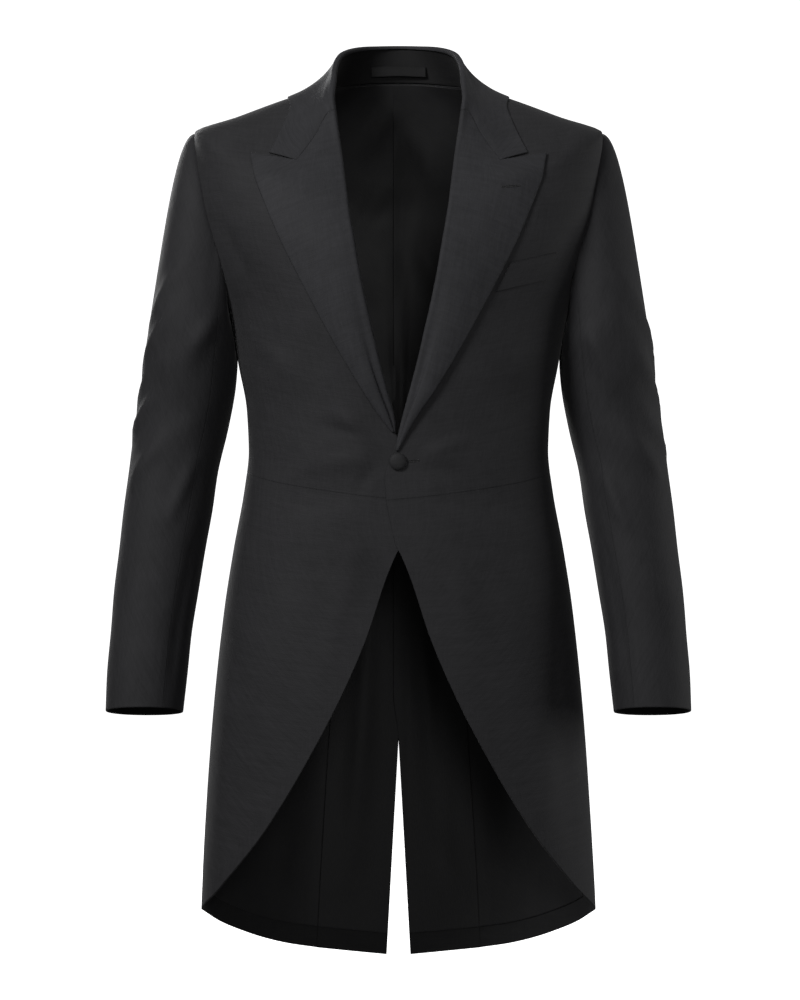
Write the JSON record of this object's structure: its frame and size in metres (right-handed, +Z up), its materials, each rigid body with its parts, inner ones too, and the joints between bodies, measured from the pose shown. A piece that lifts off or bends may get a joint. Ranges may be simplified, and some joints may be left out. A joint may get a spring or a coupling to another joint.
{
  "type": "morning coat",
  "caption": "Hollow cutaway morning coat with peaked lapels, a one-button front, tapering skirts, a vented back and long sleeves, filled out as worn.",
  "frame": {"origin": "middle of the neck base, at the height where the shoulder seams meet the collar, where the coat rests on the wearer's shoulders", "axes": "+Z up along the wearer's body, -Y out of the coat's front, +X towards the wearer's left"},
  "size_m": [0.65, 0.2927, 1.0461],
  "materials": {
    "wool": "fine matt wool",
    "satin": "dark satin lining",
    "button_cloth": "cloth-covered button"
  },
  "bodies": {
    "root": {"front_left": "wool", "front_right": "wool", "side_body_left": "wool", "side_body_right": "wool", "back_left": "wool", "back_right": "wool", "skirt_left": "wool", "skirt_right": "wool", "lapel_left": "wool", "lapel_right": "wool", "collar_leaf": "wool", "collar_stand": "wool", "sleeve_top_left": "wool", "sleeve_top_right": "wool", "sleeve_under_left": "wool", "sleeve_under_right": "wool", "breast_welt": "wool", "lining_back_left": "satin", "lining_back_right": "satin", "lining_skirt_left": "satin", "lining_skirt_right": "satin", "hanger_loop": "satin", "button": "button_cloth"}
  },
  "joints": []
}
